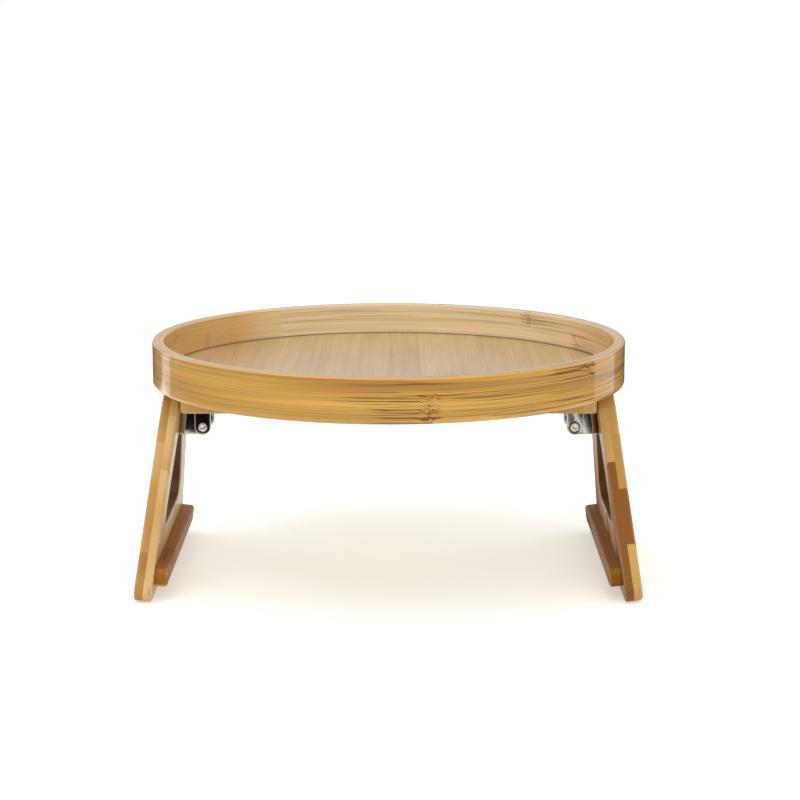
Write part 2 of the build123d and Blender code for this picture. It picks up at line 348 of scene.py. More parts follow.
def close_tree(tree, geometry, material):
    """End a tree as the export needs it: real geometry, smooth, with its material."""
    smooth = add(tree, "GeometryNodeSetShadeSmooth", {"Geometry": geometry})
    real = add(tree, "GeometryNodeRealizeInstances", {"Geometry": smooth})
    dressed = add(tree, "GeometryNodeSetMaterial", {"Geometry": real, "Material": material})
    add(tree, "NodeGroupOutput", {"Geometry": dressed})


def grow(name, tree, keys, values, start=None):
    """Run a tree on its own object and return what it made as a plain mesh."""
    host = put_in_scene(name, start or bpy.data.meshes.new(name))
    modifier = host.modifiers.new(name, "NODES")
    modifier.node_group = tree
    for label, value in values.items():
        modifier[keys[label]] = value
    mesh = plain_mesh(host)
    print(name, "tree made", len(mesh.polygons), "faces")
    return mesh


# %% [markdown]
# ## The rim
# On the real tray the rim is a bamboo lath, steamed, bent into a ring and glued end to end. Its
# shape follows a rule, one section carried round a circle, so Geometry Nodes make it: a
# rectangle with filleted corners is swept round a circle. The section's upper corners are
# rounder than its lower ones, which a field on the fillet's radius gives.

# %% A tree for the rim
rim_tree, given, rim_keys = new_tree(
    "rim bent from one lath",
    {
        "Middle radius": FLOAT, "Wall": FLOAT, "Height": FLOAT, "Upper arris": FLOAT,
        "Lower arris": FLOAT, "Middle height": FLOAT, "Steps": INT, "Finish": MATERIAL,
    },
)
ring = add(rim_tree, "GeometryNodeCurvePrimitiveCircle",
           {"Resolution": given["Steps"], "Radius": given["Middle radius"]})
ring = add(rim_tree, "GeometryNodeSetCurveNormal", {"Curve": ring}, mode="Z_UP")
section = add(rim_tree, "GeometryNodeCurvePrimitiveQuadrilateral",
              {"Width": given["Wall"], "Height": given["Height"]})
height_here = add(rim_tree, SEPARATE, (add(rim_tree, "GeometryNodeInputPosition"),), give="Y")
upper = add(rim_tree, "FunctionNodeCompare", (height_here, 0.0), operation="GREATER_THAN")
arris = add(rim_tree, "GeometryNodeSwitch", (upper, given["Lower arris"], given["Upper arris"]),
            input_type="FLOAT")
section = add(rim_tree, "GeometryNodeFilletCurve",
              {"Curve": section, "Count": 6, "Radius": arris}, mode="POLY")
swept = add(rim_tree, "GeometryNodeCurveToMesh", {"Curve": ring, "Profile Curve": section})
lift = add(rim_tree, COMBINE, {"Z": given["Middle height"]})
swept = add(rim_tree, "GeometryNodeSetPosition", {"Geometry": swept, "Offset": lift})
close_tree(rim_tree, swept, given["Finish"])

# %% [markdown]
# ## Finishes
# Everything wooden here is laminated bamboo under satin lacquer. What the eye gets from it is
# strips about 18 mm wide in different tones, fine straight fibres with longer darker vessels, a
# knuckle every two or three hundred millimetres where each fibre kinks, thin glue lines, and a
# soft sheen.
# All of that is one node group, worked out in millimetres along, across and through the strips.
# A scanned texture would repeat, and would not run on from the face of a board into its edge.

# %% Colours and empty materials
def colour(code):
    """A hex colour as sRGB shows it, turned to the linear values that Blender wants."""
    linear = []
    for i in (0, 2, 4):
        value = int(code[i:i + 2], 16) / 255
        linear.append(value / 12.92 if value <= 0.04045 else ((value + 0.055) / 1.055) ** 2.4)
    return (*linear, 1.0)


def new_finish(name):
    """A material without nodes, and its tree."""
    made = bpy.data.materials.new(name)
    made.use_nodes = True
    made.node_tree.nodes.clear()
    return made, made.node_tree


# %% The bamboo group: laths and tone
laid = bpy.data.node_groups.new("bamboo laid in strips", "ShaderNodeTree")
for label, start in {
    "Across": 0.0, "Depth": 0.0, "Along": 0.0,
    "Strip width": 18.0, "Ply": 5.5, "Ply shift": 0.5, "Length of piece": 4000.0,
    "Knuckle at": 0.0, "Knuckle per strip": 97.0, "Knuckle per ply": 61.0,
    "Knuckle twist": 0.0, "Knuckle spacing": 310.0, "Seed": 1.0,
}.items():
    socket = laid.interface.new_socket(name=label, in_out="INPUT", socket_type=FLOAT)
    socket.default_value = start
for label in ("Tone", "Ply number", "Drift", "Streak", "Vessel", "Knuckle", "Shade",
              "Glue line", "Ridge"):
    laid.interface.new_socket(name=label, in_out="OUTPUT", socket_type=FLOAT)
into = laid.nodes.new("NodeGroupInput").outputs
across, depth, along = into["Across"], into["Depth"], into["Along"]

layer = add(laid, "DIVIDE", (depth, into["Ply"]))
ply = add(laid, "FLOOR", (layer,))
lane = add(laid, "DIVIDE", (across, into["Strip width"]))
lane = add(laid, "MULTIPLY_ADD", (ply, into["Ply shift"], lane))
strip = add(laid, "FLOOR", (lane,))
turns = add(laid, "MULTIPLY_ADD", (strip, 12.9, into["Seed"]))
turns = add(laid, "MULTIPLY_ADD", (ply, 4.1, turns))
strip_chance = chain(laid, turns, ("COSINE",), ("MULTIPLY", 61.7), ("FRACT",))
reach = chain(laid, along, ("DIVIDE", into["Length of piece"]), ("ADD", strip_chance))
tone = chain(laid, reach, ("FLOOR",), ("MULTIPLY_ADD", 7.7, turns), ("SINE",),
             ("MULTIPLY", 97.3), ("FRACT",))
jump = add(laid, "MULTIPLY", (tone, 83.0))

# %% [markdown]
# A bamboo stem has a knuckle, a solid wall across it, every two or three hundred millimetres.
# The fibres run up to it in dark bunches and then swerve round it. So the distance from the
# nearest knuckle is worked out first, and within 8 mm of it a small ripple moves every fibre
# sideways by up to about a millimetre.

# %% The bamboo group: where the knuckles are
turn_by = add(laid, "MULTIPLY_ADD", (ply, into["Knuckle twist"], into["Knuckle per strip"]))
spot = add(laid, "MULTIPLY_ADD", (strip, turn_by, into["Knuckle at"]))
spot = add(laid, "MULTIPLY_ADD", (ply, into["Knuckle per ply"], spot))
gap = add(laid, "SUBTRACT", (along, spot))
half = add(laid, "MULTIPLY", (into["Knuckle spacing"], 0.5))
less = add(laid, "MULTIPLY", (half, -1.0))
from_knuckle = add(laid, "WRAP", (gap, less, half))
near_by = add(laid, "ABSOLUTE", (from_knuckle,))
near_by = add(laid, RANGE, (near_by, 3.0, 8.0, 1.0, 0.0), **SMOOTHLY)

# %% [markdown]
# The fibres are noise that is stretched along the strip: a hundred times longer than wide. Real
# fibre bundles are about 0.4 mm wide, less than a pixel here, so the darker vessels among them
# are drawn about 0.7 mm wide. They come in drifts, with clear wood between, so a slow patch of
# noise decides where they show. A slight wander keeps them from looking ruled.

# %% The bamboo group: wander and ripple
bend = add(laid, COMBINE, {"X": add(laid, "MULTIPLY", (across, 0.02)),
                           "Z": add(laid, "MULTIPLY", (along, 1 / 110))})
wander = add(laid, NOISE, {"Vector": bend, "Scale": 1.0, "Detail": 2.5})
wandered = add(laid, "MULTIPLY_ADD", (wander, 3.2, across))
swerve = add(laid, COMBINE, {"X": add(laid, "MULTIPLY", (across, 1 / 1.9)),
                             "Z": add(laid, "MULTIPLY", (along, 1 / 2.6))})
swerve = add(laid, NOISE, {"Vector": swerve, "Scale": 1.0, "Detail": 0.0})
swerve = chain(laid, swerve, ("SUBTRACT", 0.5), ("MULTIPLY", near_by))
wandered = add(laid, "MULTIPLY_ADD", (swerve, 3.4, wandered))


# %% The bamboo group: fibres and vessels
def stretched(wide, long):
    """Noise whose grains are so many millimetres wide and long, different on each strip."""
    x = add(laid, "MULTIPLY_ADD", (wandered, 1 / wide, jump))
    y = add(laid, "MULTIPLY_ADD", (depth, 1 / wide, jump))
    z = add(laid, "MULTIPLY_ADD", (along, 1 / long, jump))
    where = add(laid, COMBINE, (x, y, z))
    return add(laid, NOISE, {"Vector": where, "Scale": 1.0, "Detail": 1.0, "Roughness": 0.5})


drift = stretched(26.0, 120.0)
dashes = stretched(0.95, 75.0)
patches = stretched(11.0, 110.0)
streak = add(laid, "ADD", (stretched(3.2, 260.0), stretched(0.75, 150.0)))
where_dark = add(laid, RANGE, (patches, 0.42, 0.6, 0.3, 1.0))

# %% The bamboo group: knuckles and glue lines
kink = stretched(1.7, 900.0)
kinked = chain(laid, kink, ("MULTIPLY_ADD", 9.0, -4.5), ("ADD", from_knuckle))
nearness = add(laid, "ABSOLUTE", (kinked,))
knuckle = add(laid, RANGE, (nearness, 0.3, 2.4, 1.0, 0.0), **SMOOTHLY)
before_it = add(laid, RANGE, (kinked, -62.0, -4.0), **SMOOTHLY)
past_it = add(laid, RANGE, (kinked, 4.0, 9.0, 1.0, 0.0))
shade = add(laid, "MULTIPLY", (before_it, past_it))


def seam(value, width):
    """How near a point is to the joint at each whole number of value, 1 on the glue line."""
    return chain(laid, value, ("ADD", 0.5), ("FRACT",), ("SUBTRACT", 0.5), ("ABSOLUTE",),
                 ("MULTIPLY", width), (RANGE, 0.06, 0.3, 1.0, 0.0))


glue = add(laid, "MAXIMUM", (seam(lane, into["Strip width"]), seam(layer, into["Ply"])))
glue = add(laid, "MAXIMUM", (glue, seam(reach, into["Length of piece"])))
crowd = add(laid, "MULTIPLY_ADD", (shade, 0.05, dashes))
vessel = add(laid, RANGE, (crowd, 0.54, 0.6), **SMOOTHLY)
shown = add(laid, "MAXIMUM", (where_dark, shade))
vessel = add(laid, "MULTIPLY", (vessel, shown))
ridge = add(laid, "MULTIPLY_ADD", (knuckle, -1.5, streak))
ridge = add(laid, "MULTIPLY_ADD", (vessel, -0.5, ridge))
ridge = add(laid, "MULTIPLY_ADD", (glue, -0.8, ridge))
add(laid, "NodeGroupOutput",
    {"Tone": tone, "Ply number": ply, "Drift": drift, "Streak": streak, "Vessel": vessel,
     "Knuckle": knuckle, "Shade": shade, "Glue line": glue, "Ridge": ridge})
print("bamboo group has", len(laid.nodes), "nodes")

# %% [markdown]
# A bamboo finish puts that group to work for one piece. It is told how the piece lies, so that
# the fibres run the right way. Boards start a little outside the wood, by the length called
# `skin`. Else a broad face would lie exactly on the border of two plies, and rounding errors
# would mix both tones on it.

# %% Where a point is in a piece
skin = 0.4


def place_in_piece(tree, place):
    """A point's place in the piece, in millimetres, as one vector and as its three parts."""
    spin = place.inverted()
    here = add(tree, "ShaderNodeMapping",
               {"Vector": add(tree, "ShaderNodeTexCoord", give="Object"),
                "Location": spin.translation / MM, "Rotation": spin.to_euler(),
                "Scale": (1 / MM, 1 / MM, 1 / MM)})
    return here, *add(tree, SEPARATE, (here,)).node.outputs


# %% [markdown]
# On the rim the fibres run round the ring. Inside, the wood turns paler from the right round the
# back to the joint of the lath, and for a short way past it: partly paler wood, and partly a
# painted sheen of the front light on the inner back wall. The fine dark lines are strong to the
# right of the front, and faint to the left of it and inside. Where the panel meets the rim a thin
# dark line is painted shade in that corner.

# %% Round the rim
def round_the_rim(tree, x, y, z):
    """The ways across, through and along the bent lath, and what differs from place to place."""
    flat = add(tree, COMBINE, {"X": x, "Y": y})
    from_middle = add(tree, VECTOR_SUM, (flat,), give="Value", operation="LENGTH")
    angle = add(tree, "ARCTAN2", (x, add(tree, "MULTIPLY", (y, -1.0))))
    round_it = add(tree, "MULTIPLY", (angle, rim_radius))
    inside = add(tree, "LESS_THAN", (from_middle, rim_radius - rim_wall / 2))
    # The inner wall is paler from the right round the back to the lath's joint: partly paler wood,
    # partly a painted sheen of the front light.
    far_end = add(tree, RANGE, (angle, 0.8, 1.9, 0.18, 0.9), **SMOOTHLY)
    near_end = add(tree, RANGE, (angle, -2.8, -3.14, 0.16, 0.74), **SMOOTHLY)
    paler_and_painted_sheen = add(tree, "MULTIPLY", (inside, add(tree, "MAXIMUM", (near_end, far_end))))
    # A thin band on the inner wall just above the panel is darkened: painted shade in that corner.
    painted_corner_shade = chain(tree, z, ("SUBTRACT", skin), ("SUBTRACT", panel_level), ("ABSOLUTE",),
                  (RANGE, 0.4, 0.9, 0.75, 0.0), ("MULTIPLY", inside))
    lined = add(tree, RANGE, (angle, -0.907, -0.407, 0.15, 1.0), **SMOOTHLY)
    lined = add(tree, "MULTIPLY", (lined, add(tree, RANGE, (inside, 0.0, 1.0, 1.0, 0.25))))
    even = add(tree, RANGE, (inside, 0.0, 1.0, 1.0, 0.5))
    return (z, from_middle, round_it), dict(paler_and_painted_sheen=paler_and_painted_sheen, painted_corner_shade=painted_corner_shade, lined=lined, even=even)


# %% [markdown]
# The colour starts from the strip's tone. Streaks, vessels, knuckles and glue lines darken it,
# cut ends get the dots of the fibre bundles, and arrises turn a little paler, partly from wear and
# partly as a painted highlight. Window reveals and the corner by the panel get painted shade.

# %% The strips' own colours
def strip_colours(tree, bamboo, tones, contrast, lift, ply_step):
    """Each strip's colour, somewhere from the first of three tones to the last."""
    mixed = add(tree, "MULTIPLY_ADD", (bamboo["Drift"], 1.1, -0.3))
    own = add(tree, MIX, {0: contrast, 2: mixed, 3: bamboo["Tone"]})
    step = add(tree, "MULTIPLY_ADD", (bamboo["Ply number"], ply_step, 1.5 * ply_step + lift))
    ramp = chain(tree, own, ("ADD", step), ("ShaderNodeValToRGB",))
    stops = ramp.node.color_ramp.elements
    dark, middle, pale = tones
    stops[0].position, stops[0].color = 0.08, colour(dark)
    stops[1].position, stops[1].color = 0.92, colour(pale)
    stops.new(0.5).color = colour(middle)
    return ramp


# %% What darkens the strips
def figured(tree, base, bamboo, at_end, whole, marks, streaks, vessels, knuckles):
    """The colour with its streaks, vessels, knuckles and glue lines, fewer on cut ends."""
    dull = add(tree, RANGE, (bamboo["Streak"], 0.75, 1.25, -0.5 * streaks, 0.3 * streaks))
    if marks:
        dull = add(tree, "MULTIPLY", (dull, marks["even"]))
    dull = add(tree, "MULTIPLY_ADD", (dull, whole, 1.0))
    base = add(tree, VECTOR_SUM, {0: base, "Scale": dull}, operation="SCALE")
    near = add(tree, "MULTIPLY_ADD", (bamboo["Shade"], 1.2, 1.0))
    vessel = chain(tree, bamboo["Vessel"], ("MULTIPLY", near),
                   ("MULTIPLY", marks.get("lined", 1.0)), ("MULTIPLY", vessels))
    vessel = add(tree, "MULTIPLY", (vessel, whole), use_clamp=True)
    knuckle = chain(tree, bamboo["Knuckle"], ("MULTIPLY", knuckles), ("MULTIPLY", whole))
    faint = add(tree, RANGE, (at_end, 0.0, 0.5, 0.3, 0.07))
    glue = add(tree, "MULTIPLY", (bamboo["Glue line"], faint))
    for amount, stain_and_painted_light in ((vessel, "875015"), (knuckle, "8f6230"), (glue, "7d5226")):
        base = add(tree, MIX, {0: amount, 6: base, 7: colour(stain_and_painted_light)}, **COLOURS)
    return base


# %% Cut ends, worn and painted-highlight arrises, painted shade in reveals and corners
def worked(tree, base, here, at_end, marks, wear_and_highlight):
    """The colour after tools and use, with painted light: cut-end dots, arrises paled by wear and
    a painted highlight, painted shade in reveals and corners.
    """
    at_edge = add(tree, ATTRIBUTE, give="Fac", attribute_name="edge")
    at_painted_reveal_shade = add(tree, ATTRIBUTE, give="Fac", attribute_name="reveal")
    dots = add(tree, "ShaderNodeTexVoronoi", {"Vector": here, "Scale": 1 / 0.9})
    dots = add(tree, RANGE, (dots, 0.15, 0.55, 0.9, 1.0))
    cut = add(tree, VECTOR_SUM, {0: base, "Scale": dots}, operation="SCALE")
    base = add(tree, MIX, {0: at_end, 6: base, 7: cut}, **COLOURS)
    patchy = add(tree, NOISE, {"Vector": here, "Scale": 1 / 14.0, "Detail": 2.0})
    # Arrises are painted paler: partly wear, partly a painted highlight.
    worn_and_painted_highlight = chain(tree, at_edge, ("MULTIPLY", patchy), ("MULTIPLY", wear_and_highlight))
    # The window's reveals get painted shade, dark brown.
    stains_and_painted_light = [(worn_and_painted_highlight, "efd6a8"), (add(tree, "MULTIPLY", (at_painted_reveal_shade, 0.92)), "44250f")]
    if marks:
        stains_and_painted_light.append((marks["painted_corner_shade"], "5f3d1a"))
    for amount, stain_and_painted_light in stains_and_painted_light:
        base = add(tree, MIX, {0: amount, 6: base, 7: colour(stain_and_painted_light)}, **COLOURS)
    return base


# %% [markdown]
# The lacquer is the coat over the wood, as smooth as the brush and the rubbing down left it.

# %% Lacquered bamboo
def lacquered_bamboo(name, place, tones, contrast=0.6, lift=0.0, ply_step=0.0, streaks=0.5,
                     vessels=0.35, knuckles=0.42, wear_and_highlight=0.55, rough=0.42, specular=0.5,
                     coat=0.35, coat_rough=0.16, round_the_ring=False, **strips):
    """A bamboo finish. What is left over goes to the inputs of the group, by their names."""
    made, tree = new_finish(name)
    here, *ways = place_in_piece(tree, place)
    marks = {}
    if round_the_ring:
        ways, marks = round_the_rim(tree, *ways)
    told = dict(zip(("Across", "Depth", "Along"), ways))
    for label, value in strips.items():
        told[label.replace("_", " ").capitalize()] = value
    bamboo = add(tree, "ShaderNodeGroup", told, node_tree=laid).node.outputs
    base = strip_colours(tree, bamboo, tones, contrast, lift, ply_step)
    # The paler inside is partly the lath's wood and partly a painted sheen of the front light.
    if marks:
        base = add(tree, MIX, {0: marks["paler_and_painted_sheen"], 6: base, 7: colour("f3dcae")}, **COLOURS)
    at_end = add(tree, ATTRIBUTE, give="Fac", attribute_name="end")
    whole = add(tree, RANGE, (at_end, 0.0, 0.5, 1.0, 0.0))
    base = figured(tree, base, bamboo, at_end, whole, marks, streaks, vessels, knuckles)
    base = worked(tree, base, here, at_end, marks, wear_and_highlight)
    sheen = add(tree, RANGE, (bamboo["Streak"], 0.7, 1.3, rough + 0.1, rough - 0.06))
    height = add(tree, "MULTIPLY", (bamboo["Ridge"], whole))
    relief = add(tree, "ShaderNodeBump",
                 {"Height": height, "Strength": 0.35, "Distance": 0.00012})
    shader = add(tree, "ShaderNodeBsdfPrincipled",
                 {"Base Color": base, "Roughness": sheen, "Normal": relief, "IOR": 1.5,
                  "Specular IOR Level": specular, "Coat Weight": coat,
                  "Coat Roughness": coat_rough, "Coat IOR": 1.5})
    add(tree, "ShaderNodeOutputMaterial", {"Surface": shader})
    return made


# %% [markdown]
# The brackets are pressed from sheet steel and nickel plated. Plating is bright, but never a
# perfect mirror: rollers leave fine lines along the sheet, and the press leaves it a little
# uneven, which is what bends the dark and light shapes that it reflects. The eased edges get a
# painted highlight, paler and less metallic, and a dark ring painted round the rivet's head is
# painted shade.

# %% Plated and plain steel
def plated_steel(name, tint, rough, line_width, line_length, uneven, grime, painted_shade_round_rivet=False):
    """A steel finish, with its lines' width and length in millimetres."""
    made, tree = new_finish(name)
    here = add(tree, "ShaderNodeTexCoord", give="Object")
    stretch = (1 / (line_length * MM), 1 / (line_width * MM), 1 / (line_width * MM))
    lines = add(tree, "ShaderNodeMapping", {"Vector": here, "Scale": stretch})
    lines = add(tree, NOISE, {"Vector": lines, "Scale": 1.0, "Detail": 3.0})
    dents = add(tree, NOISE, {"Vector": here, "Scale": 1 / (4.0 * MM), "Detail": 1.0})
    specks = add(tree, NOISE,
                 {"Vector": here, "Scale": 1 / (1.1 * MM), "Detail": 4.0, "Roughness": 0.65})
    dull = add(tree, RANGE, (specks, 0.5, 0.72, 0.0, grime))
    # The eased edges are painted pale and less metallic: a painted highlight.
    rubbed = add(tree, ATTRIBUTE, give="Fac", attribute_name="rubbed")
    stains_and_painted_light = [(dull, "6d675d"), (rubbed, "f6f4ef")]
    # A dark ring just outside the rivet's head is painted shade.
    if painted_shade_round_rivet:
        x, _, z = add(tree, SEPARATE, (here,)).node.outputs
        from_pin = add(tree, COMBINE, {"X": add(tree, "ABSOLUTE", (x,)), "Y": z})
        from_pin = add(tree, VECTOR_SUM, (from_pin, (pin.x * MM, pin.z * MM, 0)), give="Value",
                       operation="DISTANCE")
        rivet_head_shade = add(tree, RANGE, (from_pin, 3.2 * MM, 3.9 * MM, 0.85, 0.0))
        stains_and_painted_light.append((rivet_head_shade, "15100b"))
    tone = colour(tint)
    for amount, stain_and_painted_light in stains_and_painted_light:
        tone = add(tree, MIX, {0: amount, 6: tone, 7: colour(stain_and_painted_light)}, **COLOURS)
    gloss = add(tree, RANGE, (lines, 0.3, 0.7, rough * 0.8, rough * 1.35))
    gloss = add(tree, "MULTIPLY_ADD", (dull, 0.25, gloss))
    gloss = add(tree, "MULTIPLY_ADD", (rubbed, 0.3, gloss))
    metallic_except_highlight = add(tree, "MULTIPLY_ADD", (rubbed, -0.7, 1.0))
    relief = add(tree, "ShaderNodeBump", {"Height": dents, "Strength": uneven, "Distance": 0.0002})
    relief = add(tree, "ShaderNodeBump",
                 {"Height": lines, "Strength": 0.1, "Distance": 0.000006, "Normal": relief})
    shader = add(tree, "ShaderNodeBsdfPrincipled",
                 {"Base Color": tone, "Metallic": metallic_except_highlight, "Roughness": gloss, "Normal": relief})
    add(tree, "ShaderNodeOutputMaterial", {"Surface": shader})
    return made


# %% [markdown]
# Each piece has its own bamboo. The two ends of the rim's lath meet at the back, 32 degrees to
# the left. The right leg's strips differ more than the left one's, as on the real tray.

# %% Bamboo of the tray
lath_joint = radians(31.9)
rim_middle = Matrix.Translation((0, 0, (rim_bottom - skin) * MM))
rim_middle = rim_middle @ Matrix.Rotation(lath_joint, 4, "Z")
rim_bamboo = lacquered_bamboo(
    "satin lacquered bamboo, bent lath", rim_middle, ("ca933b", "deaa4e", "eac273"),
    contrast=0.3, streaks=0.58, vessels=1.0, knuckles=0.25, wear_and_highlight=0.2, coat=0.8, coat_rough=0.07,
    round_the_ring=True, ply=rim_radius - rim_wall / 2, ply_shift=0.0, length_of_piece=40000.0,
    knuckle_at=311.5 - lath_joint * rim_radius, knuckle_per_strip=49.5, knuckle_per_ply=-287.5,
    knuckle_twist=65.5, knuckle_spacing=314.2, seed=3.0)
quarter_x = Matrix.Rotation(radians(90), 4, "X")
quarter_z = Matrix.Rotation(radians(90), 4, "Z")
panel_bamboo = lacquered_bamboo(
    "satin lacquered bamboo, edge glued panel", quarter_x, ("bd9a60", "cba970", "d8bb88"),
    contrast=0.4, streaks=0.22, vessels=0.12, knuckles=0.0, coat=0.9, coat_rough=0.24,
    strip_width=20.0, ply=40.0, ply_shift=0.0, knuckle_at=30.0, knuckle_per_strip=83.0,
    knuckle_spacing=260.0, seed=11.0)
cleat_bamboo = lacquered_bamboo(
    "satin lacquered bamboo, cleat block", quarter_x, ("cf9848", "e0b263", "eeca8a"),
    contrast=0.4, streaks=0.4, vessels=0.3, coat=0.6, coat_rough=0.1, strip_width=16.0,
    ply=17.0, ply_shift=0.4, knuckle_at=70.0, knuckle_spacing=300.0, seed=33.0)

# %% Bamboo of the legs and grip bars
strips_off_middle = 7.7
leg_bamboo = {
    side: lacquered_bamboo(
        "satin lacquered bamboo, two ply board, " + side,
        leg_frame(side)
        @ Matrix.Translation(((pin_to_leg - skin) * MM, -strips_off_middle * MM, 0)) @ quarter_z,
        ("925a14", "d09c4c", "f0cd90"), contrast=contrast, lift=lift, ply_step=ply_step,
        streaks=0.4, vessels=0.4, specular=specular, coat=0.3, coat_rough=0.1,
        ply=leg_thickness / 2 + skin, knuckle_at=-60.0, knuckle_per_strip=71.0,
        knuckle_spacing=230.0, seed=seed)
    for side, seed, contrast, lift, ply_step, specular in (
        ("right", 138.0083, 0.86, -0.09, 0.08, 0.16), ("left", 19.7605, 0.12, 0.35, 0.28, 0.4))
}
bar_middle = pin_below_top - leg_length + bar_above_foot + bar_height / 2
bar_bamboo = {
    side: lacquered_bamboo(
        "satin lacquered bamboo, grip bar, " + side,
        leg_frame(side) @ Matrix.Translation((0, 0, bar_middle * MM)) @ quarter_x @ quarter_z,
        ("7c4a0e", "b07a2c", "d4a452"), contrast=0.7, lift=lift, streaks=0.4, vessels=0.4,
        specular=0.1, coat=0.0, strip_width=bar_height / 2 + skin, ply=60.0, ply_shift=0.3,
        knuckle_at=20.0, knuckle_spacing=280.0, seed=seed)
    for side, seed, lift in (("right", 21.0, -0.15), ("left", 27.0, 0.25))
}

# %% Steel
bright_nickel = plated_steel("bright nickel plated sheet steel", "c4c1ba", 0.04, 0.35, 9.0, 0.02,
                             0.04, painted_shade_round_rivet=True)
rivet_steel = plated_steel("bright turned steel rivet", "dcdad5", 0.16, 0.3, 3.0, 0.12, 0.15)
spring_steel = plated_steel("hard drawn spring wire", "9c988f", 0.26, 0.25, 6.0, 0.1, 0.4)
screw_steel = plated_steel("zinc plated screw", "b5b0a5", 0.24, 0.3, 2.0, 0.15, 0.4)
print("finishes:", [m.name for m in bpy.data.materials if m.users])

# %% [markdown]
# ## Making the tray
# Now the rim's tree is run, baked into a plain mesh and put on the tray's body, and the panel
# is turned. The panel's upper edge is eased a little where it meets the rim, and with the shade
# painted on the rim's foot this draws the thin dark line round it.

# %% The rim
rim_mesh = grow("rim", rim_tree, rim_keys, {
    "Middle radius": (rim_radius - rim_wall / 2) * MM, "Wall": rim_wall * MM,
    "Height": rim_height * MM, "Upper arris": 2.2 * MM, "Lower arris": 1.2 * MM,
    "Middle height": (rim_bottom + rim_height / 2) * MM, "Steps": 288, "Finish": rim_bamboo,
})
finish(rim_mesh, "bent_rim", "tray", ["tray_rim"], face=(0, 0, 1))

# %% The panel
ease = 0.5
panel_bottom = panel_top - panel_thickness
profile = [(0, panel_bottom), (panel_radius - ease, panel_bottom)]
profile += [(panel_radius, panel_bottom + ease)]
profile += [
    (panel_radius - ease * (1 - cos(radians(a))), panel_top - ease * (1 - sin(radians(a))))
    for a in (0, 22.5, 45, 67.5, 90)
]
ring_step, ring_count = 9, 14
profile += [(panel_radius - ring_step * (k + 1), panel_top) for k in range(ring_count)]
profile += [(0, panel_top)]
finish(turned(profile, 192), "tray_floor", "tray", ["tray_panel"],
       face=(0, 0, 1), material=panel_bamboo)

# %% [markdown]
# ## Legs, grip bars and cleats
# Each leg is a two-ply board, flared like a trapezoid and windowed so that it is light. The grip
# bar is glued across the inside of its foot, and is what presses on the sofa. A cleat under the
# tray carries the hinge. All three are slabs, drawn flat and stood up by a matrix.

# %% Draw a flared outline
def flared(top_width, foot_width, top, height, top_corner, foot_corner):
    """A trapezoid, counter-clockwise from its lower left, and the radius of each corner."""
    corners = [(-foot_width / 2, top - height), (foot_width / 2, top - height),
               (top_width / 2, top), (-top_width / 2, top)]
    return corners, [foot_corner, foot_corner, top_corner, top_corner]


# Drawn u runs along the sofa arm, v is up and w is outwards.
stand_up = Matrix(((0, 0, 1, 0), (1, 0, 0, 0), (0, 1, 0, 0), (0, 0, 0, 1)))
leg_outline = flared(top_width=58, foot_width=199, top=pin_below_top, height=leg_length,
                     top_corner=22, foot_corner=8)
leg_window = flared(top_width=31, foot_width=105, top=pin_below_top - 31.5, height=53.5,
                    top_corner=8, foot_corner=10)

# %% Leg boards and grip bars
def oblong(low_u, low_v, high_u, high_v, corner):
    """Four corners, counter-clockwise from the lower left, and the radius of each."""
    return [(low_u, low_v), (high_u, low_v), (high_u, high_v), (low_u, high_v)], [corner] * 4


bar_outline = oblong(-bar_length / 2, bar_middle - bar_height / 2,
                     bar_length / 2, bar_middle + bar_height / 2, corner=0.7)
for side in SIDES:
    place = leg_frame(side)
    board = slab(leg_outline, leg_thickness, leg_arris, leg_arris, leg_window)
    board.transform(Matrix.Translation((pin_to_leg * MM, 0, 0)) @ stand_up)
    finish(board, "leg_" + side, "leg_" + side, ["leg_board_" + side], place,
           fibre=(0, 0, 1), face=(1, 0, 0), material=leg_bamboo[side])
    bar = slab(bar_outline, bar_thickness, low_round=2.0, high_round=0.25)
    bar.transform(Matrix.Translation(((pin_to_leg - bar_thickness) * MM, 0, 0)) @ stand_up)
    finish(bar, "grip_bar_shaped_" + side, "leg_" + side, ["grip_bar_" + side],
           place, fibre=(0, 1, 0), face=(1, 0, 0), material=bar_bamboo[side])

# %% Cleats
for side in SIDES:
    low, high = (Vector(corner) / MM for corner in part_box("hinge_cleat_" + side))
    cleat = slab(oblong(low.x, low.y, high.x, high.y, corner=2.5), high.z - low.z,
                 low_round=1.25, high_round=0.05)
    cleat.transform(Matrix.Translation((0, 0, low.z * MM)))
    finish(cleat, "cleat_" + side, "tray", ["hinge_cleat_" + side],
           fibre=(0, 1, 0), face=(0, 0, 1), material=cleat_bamboo)

# %% [markdown]
# ## Hinges
# The sheet steel brackets keep the exact shape of the CAD model, since their ears, bends
# and holes have to nest. A copy of each is merged, its flat faces are joined again, and a
# bevel of half a millimetre rounds the sheared edges, as long tumbling does. The bevel's faces
# are painted paler and less metallic than the flat plating, a painted highlight: that narrow
# edge is what catches the light round the dark ears.

